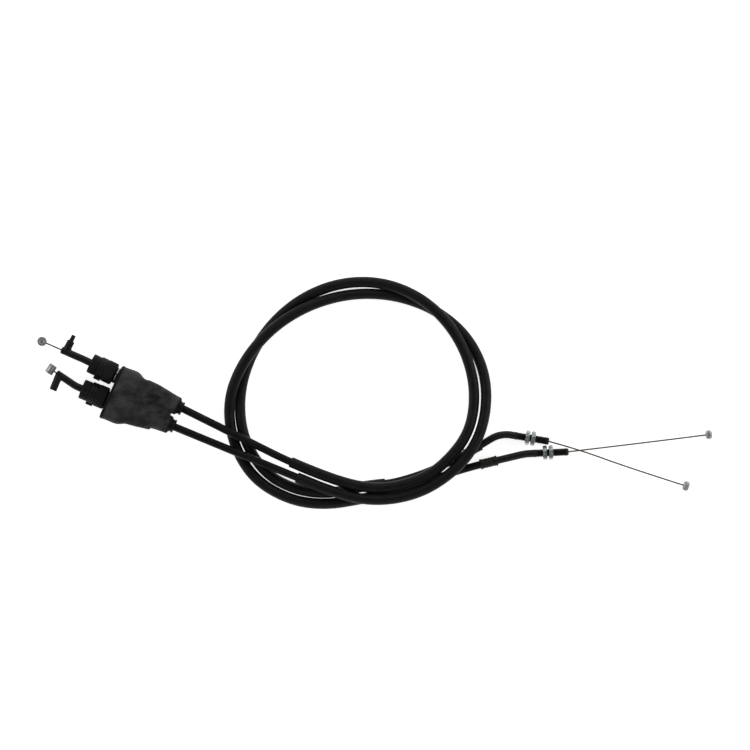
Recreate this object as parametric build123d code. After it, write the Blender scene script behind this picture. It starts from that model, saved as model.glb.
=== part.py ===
from build123d import *
import os
from math import atan2, cos, degrees, pi, radians, sin, tan

# A push-pull pair of throttle cables, laid in one loop on a flat surface.
# Millimetres, +Z up, +X from the grip end to the carburettor end, origin under the middle of the pair.

# ---- driving dimensions -------------------------------------------------------------------------
WIRE_D = 1.2
HOUSING_D = 5.8
JACKET_BORE_D = 4.3
CONDUIT_D = 4.2
CONDUIT_BORE_D = 2.8
LINER_D = 2.7
LINER_BORE_D = 1.9
SLEEVE_D = 8.0
SLEEVE_BORE_D = 5.9
GAP = 0.05  # radial running clearance between nested pieces

# grip end: distances run along the adjuster's axis from its front face, towards the loop
HOUSING_START = 24.0
GUIDE_TUBE_D = 5.6
GUIDE_BORE_D = 3.2
STUD_D = 8.0
STUD_END = 20.0
INNER_WIRE_START = 7.0
LOCK_NUT_D = 15.0
LOCK_NUT_LENGTH = 6.4
LOCK_RING_D = 16.6
LOCK_RING_START = 6.6
LOCK_RING_END = 11.8
LOCK_TAB_REACH = 9.5
LOCK_TAB_WIDTH = 4.0
BARREL_D = 17.0
BARREL_START = 12.0
BARREL_SHOULDER = 20.0
BARREL_END = 30.0
BARREL_NECK_D = 12.0
STUD_BORE_END = 20.6
CAP_D = 7.4
CAP_START = 22.4
CAP_END = 34.0
CAP_FLANGE_D = 9.4
CAP_FLANGE_START = 30.2
CAP_FLANGE_END = 32.2
NUT_FLUTES = 20
BARREL_FLUTES = 24
FLUTE_D = 1.5
PEG_D = 5.0
PEG_SPIGOT_D = 3.5
PEG_SPIGOT_START = 2.6
PEG_BOSS_D = 6.6
PEG_BOSS_REACH = 4.8
MOUTH_ROUND = 0.9
GRIP_CHAMFER = 0.7
EDGE_CHAMFER = 0.5

# carburettor end: distances run along the bent guide tube from the ferrule's open end
FERRULE_D = 7.3
FERRULE_LENGTH = 13.4
FERRULE_COLLAR_D = 7.9
FERRULE_COLLAR_LENGTH = 1.6
HOUSING_SEAT = 9.0
GUIDE_SEAT = 9.6
THREAD_D = 6.0
THREAD_LENGTH = 24.0
LOCKNUT_ACROSS_FLATS = 10.0
LOCKNUT_THICKNESS = 3.2
LOCKNUT_BORE_D = 6.1
LOCKNUT_TURN = 15.0
SEAL_LIP_D = 5.4
SEAL_LIP_LENGTH = 1.6
SEAL_SPIGOT_D = 3.1
SEAL_SPIGOT_LENGTH = 3.0
SEAL_HOLE_D = 2.2
WIRE_GAP = 0.4
NIPPLE_HOLE_D = 1.5
WIRE_TAIL = 1.5

# rubber boot over both cables
BOOT_WALL = 2.3
BOOT_LIP_BORE_D = 12.8
BOOT_RING_D = 10.2
BOOT_RING_BORE_D = 7.2
BOOT_RING_LENGTH = 3.2
BOOT_TRAVEL = 20.0

# ---- routes of the two cables -------------------------------------------------------------------
# Each list runs from the housing's start in the adjuster to its end in the ferrule.
PULL_ROUTE = [
    (-192.2, 26.9, 12.2), (-60.0, -38.9, 12.2), (-19.5, -54.1, 12.2), (6.8, -57.0, 12.2),
    (33.0, -50.0, 12.6), (51.2, -38.5, 13.6), (70.2, -15.1, 11.4), (74.9, 15.0, 7.6),
    (68.2, 44.5, 9.0), (52.7, 70.0, 12.9), (29.9, 89.0, 12.4), (2.0, 98.7, 6.2),
    (-27.4, 97.8, 4.0), (-54.5, 87.2, 4.0), (-77.1, 69.0, 4.0), (-93.9, 44.5, 4.0),
    (-102.9, 15.0, 4.0), (-100.9, -17.1, 4.0), (-84.4, -45.1, 4.0), (-60.0, -58.1, 4.0),
    (-34.5, -60.8, 4.0), (-10.5, -54.9, 4.0), (18.0, -52.0, 3.0), (56.6, -37.3, 5.8),
    (74.6, -26.5, 5.8),
]
RETURN_ROUTE = [
    (-198.1, 9.1, 12.2), (-34.5, -58.4, 12.2), (-7.5, -65.6, 12.2), (19.5, -63.9, 12.4),
    (43.9, -54.7, 13.6), (68.7, -34.0, 15.4), (82.0, -6.8, 10.4), (83.2, 26.8, 4.0),
    (70.4, 55.6, 4.0), (48.0, 75.8, 4.0), (20.9, 87.1, 4.0), (-6.1, 90.3, 4.0),
    (-32.1, 87.1, 5.0), (-56.7, 77.8, 9.5), (-79.9, 62.0, 12.8), (-99.9, 38.3, 12.9),
    (-111.2, 9.9, 8.0), (-108.2, -21.6, 4.0), (-92.3, -49.6, 4.0), (-65.0, -65.5, 4.0),
    (-38.2, -69.1, 4.0), (-12.0, -64.9, 4.0), (24.0, -57.6, 3.0), (61.5, -42.6, 5.8),
    (86.8, -36.6, 5.8),
]
# The bare wires from the threaded mouths to the carburettor-end nipples.
PULL_WIRE_ROUTE = [(128.8, -21.1, 5.8), (151.0, -27.0, 3.2), (190.6, -41.4, 2.2), (233.0, -54.9, 2.7)]
RETURN_WIRE_ROUTE = [(143.5, -29.2, 5.8), (197.4, -22.9, 5.6), (250.0, -16.3, 2.8)]

# What differs between the two cables.
CABLES = {
    "pull": {
        "route": PULL_ROUTE,
        "wire_route": PULL_WIRE_ROUTE,
        "sleeve": (143.0, 73.0),  # sleeve starts this far after the housing's start and ends before its end
        "guide_straight": 5.0,  # straight stretch of the grip guide before its bend
        "guide_turn": 3.0,  # degrees anticlockwise in plan
        "guide_length": 24.2,
        "guide_radius": 25.0,
        "peg_from_mouth": 3.8,
        "peg_side": 1,
        "peg_shoulder": 9.0,
        "peg_tip": 13.7,
        "peg_tip_d": 3.4,
        "tab_angle": 180.0,
        "grip_nipple": {"d": 7.0, "length": 7.0, "upright": True, "from_mouth": 15.6},
        "grip_tail": 30.0,
        "carb_corner": 31.0,
        "carb_angle": -9.6,  # degrees in plan, of the threaded end
        "carb_radius": 22.0,
        "carb_end": 35.3,
        "locknuts": (16.4, 12.1),  # rear faces of the two nuts, behind the mouth
        "carb_nipple": {"d": 5.0, "length": 7.4},
    },
    "return": {
        "route": RETURN_ROUTE,
        "wire_route": RETURN_WIRE_ROUTE,
        "sleeve": (150.0, 92.0),
        "guide_straight": 5.0,
        "guide_turn": -11.9,
        "guide_length": 22.6,
        "guide_radius": 25.0,
        "peg_from_mouth": 2.6,
        "peg_side": -1,
        "peg_shoulder": 12.4,
        "peg_tip": 12.4,
        "tab_angle": 180.0,
        "grip_nipple": {"d": 6.4, "length": 7.4, "upright": False, "from_mouth": 4.9},
        "grip_tail": 20.0,
        "carb_corner": 34.7,
        "carb_angle": 2.6,
        "carb_radius": 40.0,
        "carb_end": 31.2,
        "locknuts": (17.8, 13.3),
        "carb_nipple": {"d": 5.2, "length": 6.8},
    },
}


# ---- helpers ------------------------------------------------------------------------------------
def rod(diameter, start, end):
    """A cylinder on the local Z axis from start to end."""
    return Pos(0, 0, start) * Cylinder(diameter / 2, end - start, align=(Align.CENTER, Align.CENTER, Align.MIN))


def fluted(body, diameter, count, start, end):
    """Cuts a ring of shallow grip flutes along a round body."""
    flutes = PolarLocations(diameter / 2 + FLUTE_D / 4, count) * rod(FLUTE_D, start, end)
    return body - flutes


def corner_radii(points):
    """The largest sensible radius at each corner: 0.45 of the shorter run over the tangent of half the turn."""
    radii = []
    for before, here, after in zip(points, points[1:], points[2:]):
        run_in = Vector(*here) - Vector(*before)
        run_out = Vector(*after) - Vector(*here)
        half_turn = radians(run_in.get_angle(run_out)) / 2
        radii.append(0.45 * min(run_in.length, run_out.length) / tan(half_turn))
    return radii


def path_through(points, radii):
    """A wire of straight runs joined by tangent arcs."""
    return Wire(FilletPolyline(*points, radius=radii).edges())


def profile_at(path, diameter, bore=0.0):
    """A disc or a ring square to the start of a path."""
    square = Plane(origin=path.position_at(0), z_dir=path.tangent_at(0))
    disc = Circle(diameter / 2)
    if bore:
        disc = disc - Circle(bore / 2)
    return square * disc


def swept(path, diameter, bore=0.0):
    return sweep(profile_at(path, diameter, bore), path=path)


def frame(origin, direction):
    """A plane whose local Z runs along a level direction, local X level to its left and local Y up."""
    side = Vector(-direction.Y, direction.X, 0).normalized()
    return Plane(origin=origin, x_dir=side, z_dir=direction)


def level(angle):
    return Vector(cos(radians(angle)), sin(radians(angle)), 0)


def heading(vector):
    return degrees(atan2(vector.Y, vector.X))


def save(name, solid):
    export_step(solid, f"parts/{name}.step")


# ---- grip end -----------------------------------------------------------------------------------
def guide_path(axis, cable):
    """The grip guide's centre line, from the front of the adjuster out to the mouth."""
    front = axis.origin
    out = -axis.z_dir
    corner = front + out * cable["guide_straight"]
    turned = level(heading(out) + cable["guide_turn"])
    mouth = corner + turned * (cable["guide_length"] - cable["guide_straight"])
    return path_through([front, corner, mouth], [cable["guide_radius"]])


def grip_guide(axis, path, cable):
    body = swept(path, GUIDE_TUBE_D) + axis.location * rod(STUD_D, 0, STUD_END)
    mouth = path.position_at(1)
    rim = body.edges().filter_by(GeomType.CIRCLE).sort_by_distance(mouth)[0]
    body = fillet(rim, MOUTH_ROUND)
    body += peg_plane(axis, path, cable).location * rod(PEG_BOSS_D, 0, PEG_BOSS_REACH)
    body -= peg_plane(axis, path, cable).location * rod(PEG_SPIGOT_D + 2 * GAP, PEG_SPIGOT_START, PEG_BOSS_REACH)
    body -= swept(path, GUIDE_BORE_D)
    body -= axis.location * rod(GUIDE_BORE_D, -0.5, STUD_END + 1)
    return body


def peg_plane(axis, path, cable):
    """The peg stands level, square to the adjuster's axis, on the guide tube's centre line."""
    foot = path.position_at(1 - cable["peg_from_mouth"] / path.length)
    side = axis.x_dir * cable["peg_side"]
    return Plane(origin=foot, x_dir=(0, 0, 1), z_dir=side)


def locating_peg(cable):
    shank = rod(PEG_D, PEG_BOSS_REACH, cable["peg_shoulder"])
    spigot = rod(PEG_SPIGOT_D, PEG_SPIGOT_START, PEG_BOSS_REACH + 1)
    peg = shank + spigot
    if cable["peg_tip"] > cable["peg_shoulder"]:
        peg += rod(cable["peg_tip_d"], cable["peg_shoulder"] - 1, cable["peg_tip"])
    return chamfer(peg.faces().sort_by(Axis.Z)[-1].edges(), EDGE_CHAMFER)


def lock_nut():
    nut = chamfer(rod(LOCK_NUT_D, 0, LOCK_NUT_LENGTH).edges().filter_by(GeomType.CIRCLE), GRIP_CHAMFER)
    return fluted(nut, LOCK_NUT_D, NUT_FLUTES, 0, LOCK_NUT_LENGTH) - rod(STUD_D + 2 * GAP, -1, LOCK_NUT_LENGTH + 1)


def lock_ring(cable):
    ring = rod(LOCK_RING_D, LOCK_RING_START, LOCK_RING_END)
    depth = LOCK_RING_END - LOCK_RING_START
    tab = Pos(0, 0, LOCK_RING_START) * Box(
        LOCK_TAB_REACH, LOCK_TAB_WIDTH, depth, align=(Align.MIN, Align.CENTER, Align.MIN)
    )
    ring += Rot(0, 0, cable["tab_angle"]) * tab
    return ring - rod(STUD_D + 2 * GAP, LOCK_RING_START - 1, LOCK_RING_END + 1)


def adjuster_barrel():
    grip = chamfer(rod(BARREL_D, BARREL_START, BARREL_SHOULDER).edges().filter_by(GeomType.CIRCLE), GRIP_CHAMFER)
    grip = fluted(grip, BARREL_D, BARREL_FLUTES, BARREL_START, BARREL_SHOULDER)
    barrel = grip + rod(BARREL_NECK_D, BARREL_SHOULDER - 1, BARREL_END)
    barrel -= rod(STUD_D + 2 * GAP, BARREL_START - 1, STUD_BORE_END)
    barrel -= rod(CAP_D + 2 * GAP, CAP_START - 0.3, BARREL_END + 1)
    return barrel - rod(GUIDE_BORE_D, BARREL_START, BARREL_END)


def housing_cap():
    cap = rod(CAP_D, CAP_START, CAP_END) + rod(CAP_FLANGE_D, CAP_FLANGE_START, CAP_FLANGE_END)
    cap -= rod(HOUSING_D + 2 * GAP, HOUSING_START, CAP_END + 1)
    return cap - rod(LINER_BORE_D, CAP_START - 1, CAP_END)


def grip_wire_and_nipple(path, cable):
    """The bare wire and its nipple, on the straight line that leaves the guide's mouth."""
    nipple = cable["grip_nipple"]
    mouth = path.position_at(1)
    out = frame(mouth, path.tangent_at(1))
    wire = out.location * rod(WIRE_D, -cable["grip_tail"], nipple["from_mouth"] + WIRE_TAIL)
    barrel = Cylinder(nipple["d"] / 2, nipple["length"])
    barrel = chamfer(barrel.edges().filter_by(GeomType.CIRCLE), EDGE_CHAMFER)
    barrel = Pos(0, 0, nipple["from_mouth"]) * (Rot(90, 0, 0) if nipple["upright"] else Rot(0, 90, 0)) * barrel
    barrel -= rod(NIPPLE_HOLE_D, nipple["from_mouth"] - nipple["d"], nipple["from_mouth"] + WIRE_TAIL + 0.2)
    return wire, out.location * barrel


# ---- housing ------------------------------------------------------------------------------------
def housing_layers(path):
    return {
        "housing": swept(path, HOUSING_D, JACKET_BORE_D),
        "conduit": swept(path, CONDUIT_D, CONDUIT_BORE_D),
        "liner": swept(path, LINER_D, LINER_BORE_D),
    }


def sleeve(path, cable):
    after_start, before_end = cable["sleeve"]
    return swept(path.trim(after_start / path.length, 1 - before_end / path.length), SLEEVE_D, SLEEVE_BORE_D)


# ---- carburettor end ----------------------------------------------------------------------------
def carb_points(axis, cable):
    """The ferrule's open end, the guide tube's corner and its mouth."""
    corner = axis.origin + axis.z_dir * cable["carb_corner"]
    mouth = corner + level(cable["carb_angle"]) * cable["carb_end"]
    return corner, mouth


def ferrule():
    body = rod(FERRULE_D, 0, FERRULE_LENGTH)
    for start in (0, FERRULE_LENGTH - FERRULE_COLLAR_LENGTH):
        body += rod(FERRULE_COLLAR_D, start, start + FERRULE_COLLAR_LENGTH)
    body -= rod(HOUSING_D + 2 * GAP, -1, HOUSING_SEAT)
    body -= rod(GUIDE_TUBE_D + 2 * GAP, GUIDE_SEAT, FERRULE_LENGTH + 1)
    return body - rod(LINER_BORE_D, 0, FERRULE_LENGTH)


def carb_guide(axis, cable):
    corner, mouth = carb_points(axis, cable)
    start = axis.origin + axis.z_dir * GUIDE_SEAT
    path = path_through([start, corner, mouth], [cable["carb_radius"]])
    end = frame(mouth, level(cable["carb_angle"]))
    body = swept(path, GUIDE_TUBE_D) + end.location * rod(THREAD_D, -THREAD_LENGTH, 0)
    body -= end.location * rod(SEAL_SPIGOT_D + 2 * GAP, -SEAL_SPIGOT_LENGTH, 1)
    return body - swept(path, LINER_BORE_D)


def end_seal():
    body = rod(SEAL_LIP_D, 0, SEAL_LIP_LENGTH) + rod(SEAL_SPIGOT_D, -SEAL_SPIGOT_LENGTH, 0.5)
    body = fillet(body.faces().sort_by(Axis.Z)[-1].edges(), EDGE_CHAMFER)
    return body - rod(SEAL_HOLE_D, -SEAL_SPIGOT_LENGTH - 1, SEAL_LIP_LENGTH + 1)


def carb_locknut(setback):
    """A thin chamfered hex nut whose rear face is this far behind the mouth."""
    nut = extrude(RegularPolygon(LOCKNUT_ACROSS_FLATS / 2, 6, major_radius=False, rotation=LOCKNUT_TURN), LOCKNUT_THICKNESS)
    corner_d = LOCKNUT_ACROSS_FLATS / cos(pi / 6)
    nut &= chamfer(rod(corner_d, 0, LOCKNUT_THICKNESS).edges().filter_by(GeomType.CIRCLE), EDGE_CHAMFER)
    return Pos(0, 0, -setback) * (nut - rod(LOCKNUT_BORE_D, -1, LOCKNUT_THICKNESS + 1))


def carb_wire_and_nipple(cable):
    points = cable["wire_route"]
    path = path_through(points, corner_radii(points))
    end = Plane(origin=points[-1], z_dir=path.tangent_at(1))
    wire = swept(path, WIRE_D) + end.location * rod(WIRE_D, -0.01, WIRE_TAIL)
    nipple = cable["carb_nipple"]
    barrel = Cylinder(nipple["d"] / 2, nipple["length"])
    barrel = chamfer(barrel.edges().filter_by(GeomType.CIRCLE), EDGE_CHAMFER)
    across = Plane(origin=points[-1], x_dir=path.tangent_at(1), z_dir=(-path.tangent_at(1).Y, path.tangent_at(1).X, 0))
    hole = end.location * rod(NIPPLE_HOLE_D, -nipple["d"], nipple["d"])
    return wire, across.location * barrel - hole


# ---- boot ---------------------------------------------------------------------------------------
# Sections across the boot: distance from its front, side nearest the pull cable, other side, height, corner radius.
BOOT_FRONT = (-198.4, 16.1, 12.2)
BOOT_SECTIONS = [
    (0.0, 21.0, -21.0, 24.4, 8.0),
    (11.0, 21.6, -20.5, 24.4, 8.5),
    (15.4, 20.6, -19.6, 24.0, 9.0),
    (19.6, 18.9, -17.4, 22.6, 9.5),
    (38.0, 18.0, -14.2, 17.0, 8.0),
]
BOOT_BODY_LENGTH = 38.0
BOOT_LOBE_START = 30.0
BOOT_LOBE_END = 51.0
BOOT_LOBE_START_R = 8.2
BOOT_LOBE_END_R = 6.3


def boot_frame(axes):
    """The boot's middle line bisects the two adjusters' axes."""
    middle = (axes[0].z_dir + axes[1].z_dir).normalized()
    return frame(Vector(*BOOT_FRONT), middle)


def on_axis(plane, axis, along):
    """Where a cable's straight axis passes the section that stands this far along the boot."""
    reach = (plane.origin + plane.z_dir * along - axis.origin).dot(plane.z_dir) / axis.z_dir.dot(plane.z_dir)
    return axis.origin + axis.z_dir * reach


def boot_body(plane, inset):
    """The boot's wide part, or the hollow in it when inset by the wall."""
    sections = []
    for along, near, far, height, corner in BOOT_SECTIONS:
        place = min(max(along, inset), BOOT_BODY_LENGTH - inset)
        outline = RectangleRounded(near - far - 2 * inset, height - 2 * inset, corner - inset)
        sections.append(plane.location * Pos((near + far) / 2, 0, place) * outline)
    return loft(sections, ruled=True)


def boot_lobe(plane, axis, inset):
    """One tapered sleeve of the boot, along its own cable."""
    ends = []
    for along, radius in ((BOOT_LOBE_START, BOOT_LOBE_START_R), (BOOT_LOBE_END, BOOT_LOBE_END_R)):
        ends.append(Plane(origin=on_axis(plane, axis, along), z_dir=plane.z_dir) * Circle(radius - inset))
    return loft(ends, ruled=True)


def boot(plane, axes):
    outer = boot_body(plane, 0)
    hollow = boot_body(plane, BOOT_WALL)
    for axis in axes:
        outer += boot_lobe(plane, axis, 0)
        hollow += boot_lobe(plane, axis, BOOT_WALL)
        hollow += axis.location * rod(BOOT_LIP_BORE_D, BARREL_SHOULDER, BARREL_END)
    return outer - hollow


def boot_ring(plane, axis):
    """A ring on a lobe's end. Its hole is centred on the cable at half of the boot's travel."""
    centre = on_axis(plane, axis, BOOT_LOBE_END + BOOT_TRAVEL / 2) - plane.z_dir * (BOOT_TRAVEL / 2)
    ring = chamfer(rod(BOOT_RING_D, 0, BOOT_RING_LENGTH).edges().filter_by(GeomType.CIRCLE), EDGE_CHAMFER)
    ring -= rod(BOOT_RING_BORE_D, -1, BOOT_RING_LENGTH + 1)
    return frame(centre, plane.z_dir).location * ring


# ---- build --------------------------------------------------------------------------------------
def build_cable(name, cable):
    route = [Vector(*point) for point in cable["route"]]
    radii = corner_radii(cable["route"])
    print(name, "housing radii", [round(r, 1) for r in radii])
    path = path_through(route, radii)

    grip_direction = (route[1] - route[0]).normalized()
    grip_axis = frame(route[0] - grip_direction * HOUSING_START, grip_direction)
    guide = guide_path(grip_axis, cable)
    save(f"{name}_grip_guide", grip_guide(grip_axis, guide, cable))
    save(f"{name}_locating_peg", peg_plane(grip_axis, guide, cable).location * locating_peg(cable))
    save(f"{name}_lock_nut", grip_axis.location * lock_nut())
    save(f"{name}_lock_ring", grip_axis.location * lock_ring(cable))
    save(f"{name}_adjuster_barrel", grip_axis.location * adjuster_barrel())
    save(f"{name}_housing_cap", grip_axis.location * housing_cap())
    wire, nipple = grip_wire_and_nipple(guide, cable)
    save(f"{name}_grip_wire", wire)
    save(f"{name}_grip_nipple", nipple)

    for layer, solid in housing_layers(path).items():
        print(name, layer, "volume", round(solid.volume, 1), "path", round(path.length, 1))
        save(f"{name}_{layer}", solid)
    save(f"{name}_sleeve", sleeve(path, cable))

    carb_direction = (route[-1] - route[-2]).normalized()
    carb_axis = frame(route[-1] - carb_direction * HOUSING_SEAT, carb_direction)
    save(f"{name}_ferrule", carb_axis.location * ferrule())
    save(f"{name}_carb_guide", carb_guide(carb_axis, cable))
    corner, mouth = carb_points(carb_axis, cable)
    end = frame(mouth, level(cable["carb_angle"]))
    save(f"{name}_end_seal", end.location * end_seal())
    for side, setback in zip(("inner", "outer"), cable["locknuts"]):
        save(f"{name}_{side}_locknut", end.location * carb_locknut(setback))
    wire, nipple = carb_wire_and_nipple(cable)
    save(f"{name}_carb_wire", wire)
    save(f"{name}_carb_nipple", nipple)

    inner_route = [grip_axis.origin + grip_direction * INNER_WIRE_START] + route[1:-1] + [corner, mouth]
    inner_path = path_through(inner_route, radii + [cable["carb_radius"]])
    save(f"{name}_inner_wire", swept(inner_path, WIRE_D))
    print(name, "grip axis", grip_axis.origin, grip_direction, "mouth", guide.position_at(1), guide.tangent_at(1))
    print(name, "carb mouth", mouth, "heading", cable["carb_angle"])
    return grip_axis


def main():
    os.makedirs("parts", exist_ok=True)
    axes = [build_cable(name, cable) for name, cable in CABLES.items()]
    plane = boot_frame(axes)
    save("boot", boot(plane, axes))
    for name, axis in zip(CABLES, axes):
        save(f"boot_ring_{name}", boot_ring(plane, axis))
    print("boot", plane.origin, plane.z_dir)


main()
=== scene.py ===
from math import cos, pi, radians, sin, tan

import bpy
import numpy as np
from mathutils import Matrix, Vector


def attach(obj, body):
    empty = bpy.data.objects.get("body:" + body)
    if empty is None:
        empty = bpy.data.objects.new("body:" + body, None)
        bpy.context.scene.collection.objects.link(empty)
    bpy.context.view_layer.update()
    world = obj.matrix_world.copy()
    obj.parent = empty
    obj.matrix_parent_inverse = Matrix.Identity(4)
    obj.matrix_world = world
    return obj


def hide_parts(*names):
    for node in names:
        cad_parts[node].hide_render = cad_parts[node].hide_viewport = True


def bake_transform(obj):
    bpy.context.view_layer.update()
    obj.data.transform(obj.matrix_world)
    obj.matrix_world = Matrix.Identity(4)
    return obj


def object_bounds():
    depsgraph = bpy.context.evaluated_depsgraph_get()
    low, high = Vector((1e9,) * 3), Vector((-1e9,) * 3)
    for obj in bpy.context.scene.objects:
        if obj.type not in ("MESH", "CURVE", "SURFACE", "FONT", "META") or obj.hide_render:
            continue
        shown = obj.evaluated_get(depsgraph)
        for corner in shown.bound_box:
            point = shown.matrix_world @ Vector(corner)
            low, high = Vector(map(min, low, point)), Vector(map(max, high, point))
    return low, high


# A push-pull pair of throttle cables on a pale floor, seen from straight above. Lengths are in metres,
# except where a value is multiplied by MM.
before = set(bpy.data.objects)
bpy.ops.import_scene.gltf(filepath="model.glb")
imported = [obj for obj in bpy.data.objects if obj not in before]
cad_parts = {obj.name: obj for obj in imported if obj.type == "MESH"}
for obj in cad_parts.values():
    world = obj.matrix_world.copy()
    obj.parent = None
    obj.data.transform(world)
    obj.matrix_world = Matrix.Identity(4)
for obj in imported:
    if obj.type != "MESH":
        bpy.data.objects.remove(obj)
cad_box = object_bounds()

MM = 0.001

# ---- sizes --------------------------------------------------------------------------------------
WIRE_R = 0.6 * MM
HOUSING_R = 2.9 * MM
SLEEVE_R = 4.0 * MM
SLEEVE_BORE_R = 2.97 * MM
GUIDE_R = 2.8 * MM
GUIDE_BORE_R = 1.6 * MM
HOUSING_START = 24.0 * MM
HOUSING_SEAT = 9.0 * MM
FERRULE_LENGTH = 13.4 * MM
GUIDE_SEAT = 9.6 * MM
THREAD_R = 3.0 * MM
THREAD_PITCH = 1.0 * MM
THREAD_DEPTH = 0.55 * MM
THREAD_LENGTH = 24.0 * MM
LOCKNUT_TURN = radians(15.0)
LOCKNUT_HALF_FLATS = 5.0 * MM
LOCKNUT_THICKNESS = 3.2 * MM
LOCK_NUT_R = 7.5 * MM
LOCK_RING_R = 8.3 * MM
LOCK_RING_TAB_R = 9.5 * MM
BARREL_R = 8.5 * MM
WIRE_HOLE_R = 0.72 * MM
WIRE_PAST_NIPPLE_CENTRE = 1.2 * MM
GRIP_TRAVEL = 25.0 * MM
GUIDE_BEND_RADIUS = 25.0 * MM
STUD_LENGTH = 12.0 * MM

# ---- routes of the cables, as laid out in the CAD model -----------------------------------------
# Each long straight run from the boot has one point more than the tube's route, near its far corner.
PULL_ROUTE = [
    (-0.1922, 0.0269, 0.0122), (-0.0987, -0.0196, 0.0122), (-0.0600, -0.0389, 0.0122),
    (-0.0195, -0.0541, 0.0122), (0.0068, -0.0570, 0.0122), (0.0330, -0.0500, 0.0126),
    (0.0512, -0.0385, 0.0136), (0.0702, -0.0151, 0.0114), (0.0749, 0.0150, 0.0076),
    (0.0682, 0.0445, 0.0090), (0.0527, 0.0700, 0.0129), (0.0299, 0.0890, 0.0124),
    (0.0020, 0.0987, 0.0062), (-0.0274, 0.0978, 0.0040), (-0.0545, 0.0872, 0.0040),
    (-0.0771, 0.0690, 0.0040), (-0.0939, 0.0445, 0.0040), (-0.1029, 0.0150, 0.0040),
    (-0.1009, -0.0171, 0.0040), (-0.0844, -0.0451, 0.0040), (-0.0600, -0.0581, 0.0040),
    (-0.0345, -0.0608, 0.0040), (-0.0105, -0.0549, 0.0040), (0.0180, -0.0520, 0.0030),
    (0.0566, -0.0373, 0.0058), (0.0746, -0.0265, 0.0058),
]
RETURN_ROUTE = [
    (-0.1981, 0.0091, 0.0122), (-0.0603, -0.0477, 0.0122), (-0.0345, -0.0584, 0.0122),
    (-0.0075, -0.0656, 0.0122), (0.0195, -0.0639, 0.0124), (0.0439, -0.0547, 0.0136),
    (0.0687, -0.0340, 0.0154), (0.0820, -0.0068, 0.0104), (0.0832, 0.0268, 0.0040),
    (0.0704, 0.0556, 0.0040), (0.0480, 0.0758, 0.0040), (0.0209, 0.0871, 0.0040),
    (-0.0061, 0.0903, 0.0040), (-0.0321, 0.0871, 0.0050), (-0.0567, 0.0778, 0.0095),
    (-0.0799, 0.0620, 0.0128), (-0.0999, 0.0383, 0.0129), (-0.1112, 0.0099, 0.0080),
    (-0.1082, -0.0216, 0.0040), (-0.0923, -0.0496, 0.0040), (-0.0650, -0.0655, 0.0040),
    (-0.0382, -0.0691, 0.0040), (-0.0120, -0.0649, 0.0040), (0.0240, -0.0576, 0.0030),
    (0.0615, -0.0426, 0.0058), (0.0868, -0.0366, 0.0058),
]
PULL_WIRE_ROUTE = [
    (0.1288, -0.0211, 0.0058), (0.1510, -0.0270, 0.0032), (0.1906, -0.0414, 0.0022),
    (0.2330, -0.0549, 0.0027),
]
RETURN_WIRE_ROUTE = [
    (0.1435, -0.0292, 0.0058), (0.1974, -0.0229, 0.0056), (0.2500, -0.0163, 0.0028),
]

# What differs between the two cables, in millimetres and degrees.
CABLES = {
    "pull": {
        "route": PULL_ROUTE, "wire_route": PULL_WIRE_ROUTE, "housing_length": 0.822,
        "wire_length": 0.1100, "sleeve": (143.0, 73.0),
        "guide_straight": 5.0, "guide_turn": 3.0, "guide_length": 24.2, "peg_from_mouth": 3.8,
        "peg_side": 1, "peg_shoulder": 9.0, "peg_tip": 13.7, "peg_tip_r": 1.7,
        "grip_r": 3.5, "grip_barrel": 7.0, "grip_upright": True, "grip_from_mouth": 15.6,
        "grip_tail": 30.0, "carb_corner": 31.0, "carb_angle": -9.6, "carb_bend": 22.0, "carb_end": 35.3,
        "locknuts": (16.4, 12.1), "carb_r": 2.5, "carb_barrel": 7.4,
    },
    "return": {
        "route": RETURN_ROUTE, "wire_route": RETURN_WIRE_ROUTE, "housing_length": 0.8615,
        "wire_length": 0.1074, "sleeve": (150.0, 92.0),
        "guide_straight": 5.0, "guide_turn": -11.9, "guide_length": 22.6, "peg_from_mouth": 2.6,
        "peg_side": -1, "peg_shoulder": 12.4, "peg_tip": 12.4, "peg_tip_r": 2.1,
        "grip_r": 3.2, "grip_barrel": 7.4, "grip_upright": False, "grip_from_mouth": 4.9,
        "grip_tail": 20.0, "carb_corner": 34.7, "carb_angle": 2.6, "carb_bend": 40.0, "carb_end": 31.2,
        "locknuts": (17.8, 13.3), "carb_r": 2.6, "carb_barrel": 6.8,
    },
}


# ---- frames and lines ---------------------------------------------------------------------------
def frame_at(origin, direction):
    """A frame whose Z runs along the direction, X level to its left and Y up."""
    z = Vector(direction).normalized()
    x = Vector((-z.y, z.x, 0)).normalized()
    y = z.cross(x)
    place = Matrix((x, y, z)).transposed().to_4x4()
    place.translation = Vector(origin)
    return place


def axis_of(place):
    """The frame's Z direction."""
    return place.to_3x3().col[2].copy()


def level(angle):
    """A level direction, in degrees anticlockwise from X."""
    return Vector((cos(radians(angle)), sin(radians(angle)), 0))


def moved(place, points):
    """Local points put into the frame."""
    matrix = np.array(place)
    return np.asarray(points) @ matrix[:3, :3].T + matrix[:3, 3]


def bent_tube_line(start, corner, end, radius, step=0.6 * MM):
    """The centre line of a metal tube with one bend, as points a step apart."""
    start, corner, end = Vector(start), Vector(corner), Vector(end)
    before, after = (corner - start).normalized(), (end - corner).normalized()
    turn = before.angle(after)
    if turn < 0.001:
        return resampled(np.array([start, end]), step)
    inset = radius * tan(turn / 2)
    inward = (after - before).normalized()
    centre = corner + inward * (radius / cos(turn / 2))
    spoke = corner - before * inset - centre
    hinge = before.cross(after).normalized()
    bend = [centre + Matrix.Rotation(turn * k / 24, 3, hinge) @ spoke for k in range(25)]
    return resampled(np.array([start, *bend, end]), step)


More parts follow.
